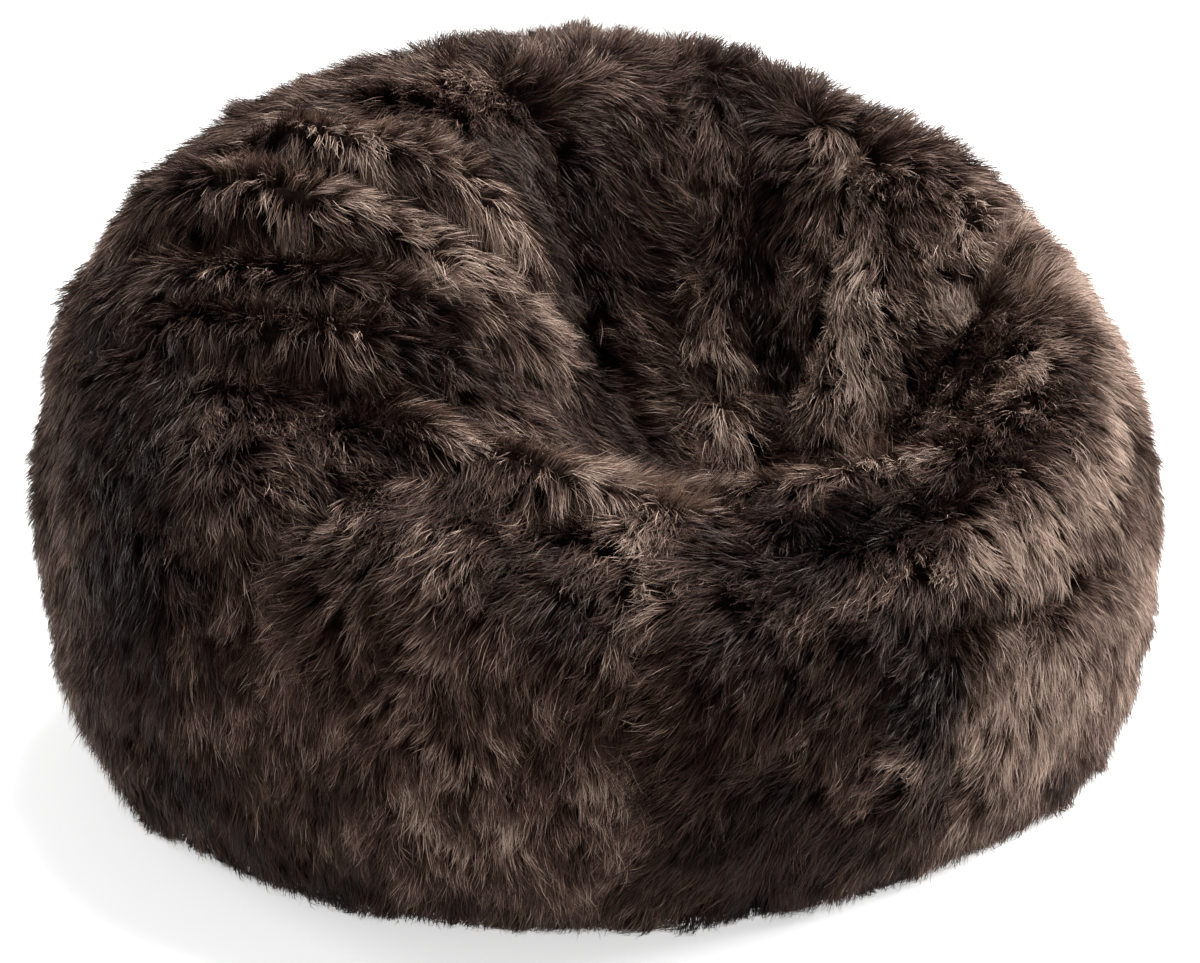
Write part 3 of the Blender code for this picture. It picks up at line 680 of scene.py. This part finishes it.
def bead_mass(finish):
    """The beads as one settled heap, knobbly all over, with a channel left over the liner's zip."""
    columns, side_rows, floor_rows = 240, 150, 60
    turn = np.linspace(0, FULL_TURN, columns, endpoint=False)
    heights = np.linspace(0, CROWN_MIDDLE, side_rows)
    angle, along = (g.ravel() for g in np.meshgrid(turn, heights, indexing="ij"))
    x, y, z = (smooth_surface(angle, along) * BEAD_PACE).T
    knobs = np.abs(np.sin(x) * np.sin(y + 1) + np.sin(z))
    wall = inside(angle, along, BEAD_DEPTH + BEAD_KNOB * (1 - np.clip(knobs, 0, 1)), BEAD_FLOOR)
    wall = wall.reshape(columns, side_rows, 3)
    share = np.linspace(0.01, 0.99, floor_rows)[None, :, None]
    ground = wall[:, :1] * share
    ground[..., 2] = BEAD_FLOOR
    over_zip = (np.abs(ground[..., 0]) < CHANNEL[0]) & (np.abs(ground[..., 1]) < CHANNEL[1])
    ground[..., 2] = np.where(over_zip, CHANNEL[2], BEAD_FLOOR)
    net = np.concatenate([ground, wall], 1)
    rows = net.shape[1]
    corner = np.arange(columns * rows).reshape(columns, rows)
    ahead = np.roll(corner, -1, axis=0)
    sides = np.stack([corner[:, :-1], ahead[:, :-1], ahead[:, 1:], corner[:, 1:]], -1).reshape(-1, 4)
    loops = np.concatenate([sides.ravel(), corner[::-1, 0], corner[:, -1]])
    sizes = [4] * len(sides) + [columns, columns]
    return mesh_object("beads", net.reshape(-1, 3), loops, sizes, finish)


# ---- the pile ------------------------------------------------------------------------------------------
def scatter(draw, low, high, start, stop, per_area):
    """Angles and heights of lock roots, spread evenly by area over a panel of the skin."""
    columns, rows = 24, 160
    angles, along = np.linspace(low, high, columns + 1), np.linspace(start, stop, rows + 1)
    angle, row = (g.ravel() for g in np.meshgrid(angles, along, indexing="ij"))
    points = skin(angle, row, PILE_DEPTH).reshape(columns + 1, rows + 1, 3)
    side, up = points[1:, :-1] - points[:-1, :-1], points[:-1, 1:] - points[:-1, :-1]
    area = np.linalg.norm(np.cross(side, up), axis=-1).ravel()
    count = int(area.sum() * per_area)
    cell = np.searchsorted(np.cumsum(area) / area.sum(), draw.uniform(size=count))
    cell = np.minimum(cell, len(area) - 1)
    i, j = cell // rows, cell % rows
    angle = angles[0] + (i + draw.uniform(size=count)) * (angles[1] - angles[0])
    row = along[0] + (j + draw.uniform(size=count)) * (along[1] - along[0])
    return angle, row


def flow(points, along, normal, round_way, nap):
    """Which way the pile lies: as its gore was brushed, a little downhill, and it wanders."""
    up_way = np.cross(normal, round_way)
    brushed = np.radians(np.array(nap, float))
    towards_floor = np.interp(along, NAP_ROWS, np.cos(brushed))[:, None]
    sideways = np.interp(along, NAP_ROWS, np.sin(brushed))[:, None]
    down = np.array([0.0, 0.0, -1.0]) * np.ones_like(normal)
    wander = sum(strength * drift_vector(points, wavelength, seed) for strength, wavelength, seed in SWIRLS)
    lie = sideways * round_way - towards_floor * up_way + DOWNHILL * down + WANDER * wander
    return unit(lie - dot(lie, normal) * normal)


def lock_habits(draw, angle, along, root, lie, gore_tone_and_light):
    """How each lock stands, how long it is, where it heads and curls, and how light it is."""
    locks = len(root)
    tuft = np.clip(slow_change(root, TUFT_DRIFT) - TUFT_FROM, 0, 1)
    stand = draw.normal(0, LOCK_STAND, locks) + slow_change(root, STAND_DRIFT) + TUFT_STAND * tuft
    varied = 1 + slow_change(root, LENGTH_DRIFT) + draw.normal(0, LOCK_LENGTH, locks) - TUFT_SHORTER * tuft
    heading = draw.normal(0, LOCK_HEADING, locks)
    curl = draw.normal(0, LOCK_CURL, locks) + slow_change(root, CURL_DRIFT)
    tone = MIDDLE_TONE + slow_change(root, TONE_DRIFTS[0]) + slow_change(root, TONE_DRIFTS[1])
    tone += draw.normal(0, LOCK_TONE, locks) + gore_tone_and_light
    # the streaks add painted highlights and painted shade to the lock's own tone
    hair_ends = smooth_surface(angle, along) + lie * PAINTED_LIGHT_SHIFT * HAIR_LENGTH
    tone += PAINTED_LIGHT_WEIGHT * strokes(hair_ends, PAINTED_LIGHT_AND_SHADE)
    return stand, HAIR_LENGTH * varied, heading, curl, tone


def hair_spines(draw, root, up, ahead, side, stand, length, heading, curl):
    """Four points along each hair; every argument has one row for each hair."""
    hairs = len(root)
    spread = LOCK_RADIUS * np.sqrt(draw.uniform(size=hairs)) * 1
    turn = draw.uniform(0, FULL_TURN, hairs)
    offset = spread[:, None] * (np.cos(turn)[:, None] * ahead + np.sin(turn)[:, None] * side)
    length = length * draw.uniform(*HAIR_LENGTHS, hairs)
    stand = stand + draw.normal(0, HAIR_STAND, hairs)
    heading = heading + draw.normal(0, HAIR_HEADING, hairs)
    curl = curl + draw.normal(0, HAIR_CURL, hairs)
    stray = unit(draw.normal(size=(hairs, 3))) * draw.exponential(STRAY, hairs)[:, None]

    place = root + offset
    spine = [place]
    for step, (base, t, t_before) in enumerate(zip(STANDS, STATIONS[1:], STATIONS[:-1], strict=True)):
        lift = np.radians(np.clip(base + stand, FLATTEST, STEEPEST))[:, None]
        swing = np.radians(heading + curl * (step - CURL_FROM))[:, None]
        way = np.cos(lift) * (np.cos(swing) * ahead + np.sin(swing) * side) + np.sin(lift) * up
        place = place + way * (length * (t - t_before))[:, None]
        spine.append(place - offset * (DRAWN_IN * t) + stray * t * t)
    spine = np.stack(spine, 1)
    spine[:, :, 2] = np.maximum(spine[:, :, 2], LOWEST_HAIR)
    return spine


def ribbons(draw, name, spine, up, side, finish):
    """A thin tapered strip along each spine, which takes the light as a round hair would."""
    hairs = len(spine)
    along_hair = unit(np.gradient(spine, axis=1))
    face = unit(up + FACING * draw.normal(size=(hairs, 1)) * side)[:, None, :]
    across = unit(np.cross(along_hair, face))
    width = HAIR_WIDTH * draw.uniform(*HAIR_WIDTHS, hairs)[:, None, None]
    width = width * 1
    half = across * width * np.array(WIDTHS)[None, :, None]
    left, right = spine - half, spine + half
    points = np.stack(
        [left[:, 0], right[:, 0], left[:, 1], right[:, 1], left[:, 2], right[:, 2], spine[:, 3]], 1
    )
    shade_normal = unit(face - dot(face * np.ones_like(along_hair), along_hair) * along_hair)
    corners_per_hair = len(CORNER_STATIONS)
    first = corners_per_hair * np.arange(hairs)[:, None]
    corners = np.concatenate([first + c for c in FACES], 1)
    sizes = [len(face_corners) for face_corners in FACES] * hairs
    made = mesh_object(name, points.reshape(-1, 3), corners.ravel(), sizes, finish)
    made.data.normals_split_custom_set_from_vertices(shade_normal[:, CORNER_STATIONS].reshape(-1, 3))
    return made


def pile(name, low, high, start, stop, nap, gore_tone_and_light, seed, finish):
    """The pile over one panel of the skin, a lock at a time, with its colours as vertex attributes."""
    draw = np.random.default_rng(seed)
    thin = 1
    angle, along = scatter(draw, low, high, start, stop, LOCKS_PER_M2 / thin)
    root, normal, round_way = skin_frame(angle, along, PILE_DEPTH + ROOT_SINK)
    lie = flow(root, along, normal, round_way, nap)
    *habits, lock_tone_and_light = lock_habits(draw, angle, along, root, lie, gore_tone_and_light)

    lock = np.repeat(np.arange(len(root)), HAIRS_PER_LOCK)
    hairs = len(lock)
    up, ahead, side = normal[lock], lie[lock], np.cross(normal, lie)[lock]
    spine = hair_spines(draw, root[lock], up, ahead, side, *(habit[lock] for habit in habits))
    made = ribbons(draw, name, spine, up, side, finish)

    bleached = draw.uniform(size=hairs) < BLEACHED_SHARE
    # a hair's tone carries its lock's own tone together with the painted light and shade of the streaks and
    # of its gore
    tone = lock_tone_and_light[lock] + draw.normal(0, HAIR_TONE, hairs) + np.where(bleached, BLEACHED, NOT_BLEACHED)
    along_hair = np.tile(np.array(STATIONS)[CORNER_STATIONS], hairs)
    hair_tone_and_light = np.repeat(tone, len(CORNER_STATIONS))
    for label, values in (("hair_along", along_hair), ("hair_tone_and_light", hair_tone_and_light)):
        layer = made.data.attributes.new(label, "FLOAT", "POINT")
        layer.data.foreach_set("value", np.ascontiguousarray(values, np.float32))
    return made


def place_soft(piece, stands_for):
    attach(piece, "bag")
    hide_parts(stands_for)


def place_pile(piece):
    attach(piece, "bag")


pile_finish, hide_finish = pile_material(), hide_material()
for gore in range(GORES):
    low = math.radians(FIRST_SEAM) + gore * SECTOR
    high = low + SECTOR
    label = f"{gore + 1:02d}"
    hide = hide_panel(f"hide_{label}", low, high, 0.0, CROWN_EDGE, hide_finish)
    place_soft(hide, f"fur_gore_{label}")
    for number, (part, start, stop) in enumerate((("flank", 0.0, SHOULDER), ("seat", SHOULDER, CROWN_EDGE))):
        seed = FIRST_SEED + 2 * gore + number
        fur = (f"pile_{label}_{part}", low, high, start, stop, NAP[gore], GORE_TONE_AND_LIGHT[gore], seed, pile_finish)
        place_pile(pile(*fur))
crown = (0.0, FULL_TURN, CROWN_EDGE, CROWN_MIDDLE)
place_soft(hide_panel("hide_crown", *crown, hide_finish), "fur_crown")
place_pile(pile("pile_crown", *crown, CROWN_NAP, CROWN_TONE, CROWN_SEED, pile_finish))

# ---- base, liner and beads -----------------------------------------------------------------------------
suede = grained_material("brown_suede", (0.030, 0.019, 0.015), (0.080, 0.054, 0.043), 900, 0.85, spread=0.1)
cotton = woven_material("liner_cotton", (0.42, 0.39, 0.34), (0.66, 0.63, 0.57), 300, 0.9)
for half, side in (("front", -1), ("back", 1)):
    place_soft(base_panel(f"suede_{half}", side, suede, **SUEDE), f"base_{half}")
    place_soft(base_panel(f"cotton_{half}", side, cotton, **COTTON), f"liner_base_{half}")
for number in range(LINER_GORES):
    low = math.radians(FIRST_SEAM) + number * LINER_SECTOR
    panel = liner_panel(f"cotton_gore_{number + 1}", low, low + LINER_SECTOR, 0.0, CROWN_EDGE, cotton)
    place_soft(panel, f"liner_gore_{number + 1}")
place_soft(liner_panel("cotton_crown", *crown, cotton), "liner_crown")
place_soft(bead_mass(bead_material()), "bead_fill")

# ---- finishes for the CAD nodes that stay: zips --------------------------------------------------------
# colour of the darkest and lightest thread or grain, its scale, and roughness
TAPE = ((0.012, 0.009, 0.007), (0.045, 0.033, 0.027), 400, 0.9)
RESIN = ((0.018, 0.012, 0.010), (0.040, 0.030, 0.025), 1500, 0.42)
BRONZE = ((0.13, 0.105, 0.085), (0.27, 0.23, 0.19), 1800, 0.34)
NICKEL = ((0.42, 0.42, 0.43), (0.62, 0.62, 0.63), 1800, 0.3)
LINER_TAPE = ((0.36, 0.34, 0.31), (0.60, 0.58, 0.53), 500, 0.8)
FINISHES = {
    "zip_tape": woven_material("zip_tape_weave", *TAPE),
    "zip_teeth": grained_material("zip_resin", *RESIN),
    "zip_": grained_material("zip_bronze", *BRONZE, metallic=1.0),
    "liner_zip_slider": grained_material("liner_nickel", *NICKEL, metallic=1.0),
    "liner_zip": woven_material("liner_tape_weave", *LINER_TAPE),
}
# each node takes the finish with the longest name that its own name starts with
for name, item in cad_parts.items():
    matching = [start for start in FINISHES if name.startswith(start)]
    if matching:
        for slot in item.material_slots:
            slot.link = "OBJECT"
            slot.material = FINISHES[max(matching, key=len)]

# ---- studio --------------------------------------------------------------------------------------------
FLOOR_HALF, FLOOR_LEVEL, FLOOR_GLOW = 12.0, -0.0005, 0.6
WALL_LIGHT, WALL_SEEN = 0.34, 1.0
WHITE = (1.0, 1.0, 1.0, 1.0)
# Round lights: name, place, aim, diameter and power.
LIGHTS = (
    ("overhead", (0.4, 0.8, 3.0), (0.0, 0.0, 0.3), 1.8, 185),
    ("right", (3.0, 0.3, 1.5), (0.0, 0.0, 0.3), 1.4, 140),
    ("left", (-3.0, 1.4, 1.3), (0.0, 0.0, 0.4), 1.2, 40),
)
CAMERA_LENS, CAMERA_SENSOR = 106.0, 36.0
CAMERA_ELEVATION, CAMERA_DISTANCE = math.radians(20.5), 3.4
CAMERA_TARGET = Vector((0.0, 0.0, 0.2545))


def aim(item, direction):
    item.rotation_mode = "QUATERNION"
    item.rotation_quaternion = direction.to_track_quat("-Z", "Y")
    bpy.context.scene.collection.objects.link(item)


def area_light(name, place, target, size, power):
    light = bpy.data.lights.new(name, "AREA")
    light.shape = "DISK"
    light.size = size
    light.energy = power
    lamp = bpy.data.objects.new(name, light)
    lamp.location = place
    aim(lamp, Vector(target) - Vector(place))


def pale_floor():
    """A white floor with a glow of its own, so that it looks as bright as the walls."""
    finish, tree, shader = new_material("pale_floor")
    place = node(tree, "ShaderNodeTexCoord")
    dust = node(tree, "ShaderNodeTexNoise", in_Scale=3.0, in_Detail=3.0)
    tree.links.new(place.outputs["Object"], dust.inputs["Vector"])
    colours = ((0.3, (0.88, 0.88, 0.88)), (0.7, (0.91, 0.91, 0.91)))
    tree.links.new(ramp(tree, dust.outputs["Fac"], colours), shader.inputs["Base Color"])
    shader.inputs["Roughness"].default_value = 0.9
    shader.inputs["Emission Color"].default_value = WHITE
    shader.inputs["Emission Strength"].default_value = FLOOR_GLOW
    corners = np.array(((-1, -1), (1, -1), (1, 1), (-1, 1))) * FLOOR_HALF
    points = np.column_stack([corners, np.full(4, FLOOR_LEVEL)])
    return mesh_object("floor", points, [0, 1, 2, 3], [4], finish)


def white_walls():
    """The walls are white to look at, but give only a part of that as light."""
    world = bpy.data.worlds.new("studio")
    world.use_nodes = True
    sky = world.node_tree
    lit_by = sky.nodes["Background"]
    lit_by.inputs["Color"].default_value = WHITE
    lit_by.inputs["Strength"].default_value = WALL_LIGHT
    seen = node(sky, "ShaderNodeBackground", in_Color=WHITE, in_Strength=WALL_SEEN)
    ray = node(sky, "ShaderNodeLightPath")
    choice = node(sky, "ShaderNodeMixShader")
    sky.links.new(ray.outputs["Is Camera Ray"], choice.inputs["Fac"])
    sky.links.new(lit_by.outputs["Background"], choice.inputs[1])
    sky.links.new(seen.outputs["Background"], choice.inputs[2])
    sky.links.new(choice.outputs["Shader"], sky.nodes["World Output"].inputs["Surface"])
    return world


pale_floor()
bpy.context.scene.world = white_walls()
for light in LIGHTS:
    area_light(*light)
bpy.context.scene.view_settings.view_transform = "Standard"

camera = bpy.data.objects.new("camera", bpy.data.cameras.new("camera"))
camera.data.sensor_width = CAMERA_SENSOR
camera.data.lens = CAMERA_LENS
back = Vector((0.0, -math.cos(CAMERA_ELEVATION), math.sin(CAMERA_ELEVATION)))
camera.location = CAMERA_TARGET + back * CAMERA_DISTANCE
aim(camera, -back)
bpy.context.scene.camera = camera
